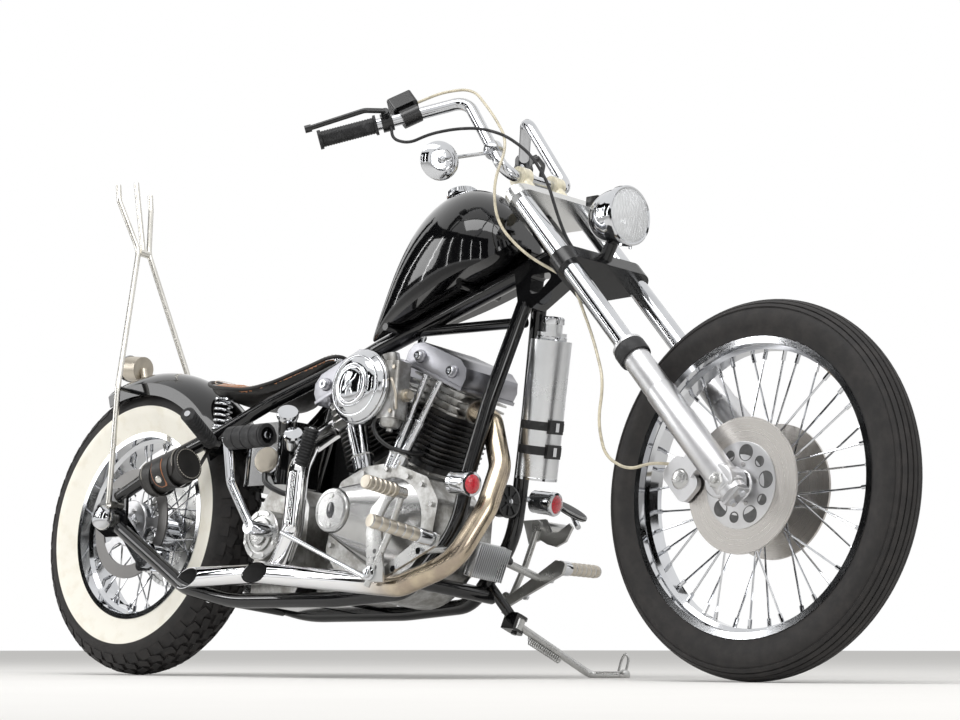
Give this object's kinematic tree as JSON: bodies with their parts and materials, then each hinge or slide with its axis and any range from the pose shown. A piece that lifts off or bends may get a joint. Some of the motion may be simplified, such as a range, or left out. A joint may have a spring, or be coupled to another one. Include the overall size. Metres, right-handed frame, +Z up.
{
  "type": "chopper motorcycle",
  "caption": "Chopper motorcycle with rigid frame, raked fork, wire wheels and V-twin engine, leaning on its side stand; wheels, steering and stand move.",
  "frame": {"origin": "on the ground under the middle of its length and width", "axes": "+X forward, +Y to its left, +Z up; it leans to the left on its side stand"},
  "size_m": [2.4313, 0.8058, 1.2273],
  "materials": {
    "tyre_rubber": "matt",
    "chrome": "polished",
    "steel": "brushed",
    "alloy": "satin",
    "black_paint": "gloss",
    "black_iron": "satin black",
    "black_rubber": "matt",
    "seat_leather": "worn tan",
    "black_leather": "black",
    "glass": "clear",
    "red_lens": "red",
    "brass": "worn"
  },
  "bodies": {
    "frame": {"frame_backbone": "black_paint", "frame_cradle_right": "black_paint", "frame_cradle_left": "black_paint", "frame_stays": "black_paint", "frame_cross": "black_paint", "crankcase": "alloy", "cylinders": "black_iron", "cylinder_heads": "alloy", "rocker_boxes": "chrome", "cam_cover": "alloy", "pushrods": "chrome", "carburettor": "alloy", "air_cleaner": "chrome", "gearbox": "alloy", "kick_starter": "chrome", "primary_case": "alloy", "drive_chain": "steel", "exhaust_front": "chrome", "exhaust_rear": "chrome", "fuel_tank": "black_paint", "seat": "seat_leather", "seat_springs": "chrome", "oil_tank": "chrome", "rear_fender": "black_paint", "tail_lamp": "chrome", "sissy_bar": "chrome", "passenger_pegs": "black_rubber", "tool_roll": "black_leather", "rear_axle": "steel", "rear_brake": "alloy", "foot_controls": "steel", "fuel_bottle": "alloy", "marker_lamps": "chrome", "marker_lenses": "red_lens", "horn": "black_paint", "regulator": "alloy"},
    "fork": {"front_axle": "chrome", "fork_sliders": "alloy", "fork_tubes": "chrome", "fork_trees": "alloy", "risers": "brass", "handlebar": "chrome", "grips": "black_rubber", "hand_controls": "black_paint", "headlamp": "chrome", "headlamp_lens": "glass", "mirror": "chrome", "front_brakes": "alloy", "brake_hose": "black_rubber", "throttle_cable": "black_rubber"},
    "front_wheel": {"front_wheel": "chrome", "front_tyre": "tyre_rubber", "front_discs": "steel"},
    "rear_wheel": {"rear_wheel": "chrome", "rear_tyre": "tyre_rubber", "sprocket": "steel", "rear_disc": "steel"},
    "side_stand": {"side_stand": "steel"}
  },
  "joints": [
    {"name": "steering", "type": "hinge", "parent": "frame", "child": "fork", "pos_m": [0.32704, 0.01194, 0.85666], "axis": [-0.682, 0.0907, 0.7257], "range_deg": [-31.25, 38.75]},
    {"name": "front_wheel_spin", "type": "hinge", "parent": "fork", "child": "front_wheel", "pos_m": [0.86114, -0.05382, 0.35401], "axis": [0.0478, 0.9957, -0.0794], "continuous": true},
    {"name": "rear_wheel_spin", "type": "hinge", "parent": "frame", "child": "rear_wheel", "pos_m": [-0.87579, -0.05287, 0.33787], "axis": [0, 0.9923, -0.1239], "continuous": true},
    {"name": "side_stand_swing", "type": "hinge", "parent": "frame", "child": "side_stand", "pos_m": [0.15921, 0.05773, 0.10991], "axis": [0.1003, 0.3682, 0.9243], "range_deg": [0, 100]}
  ]
}
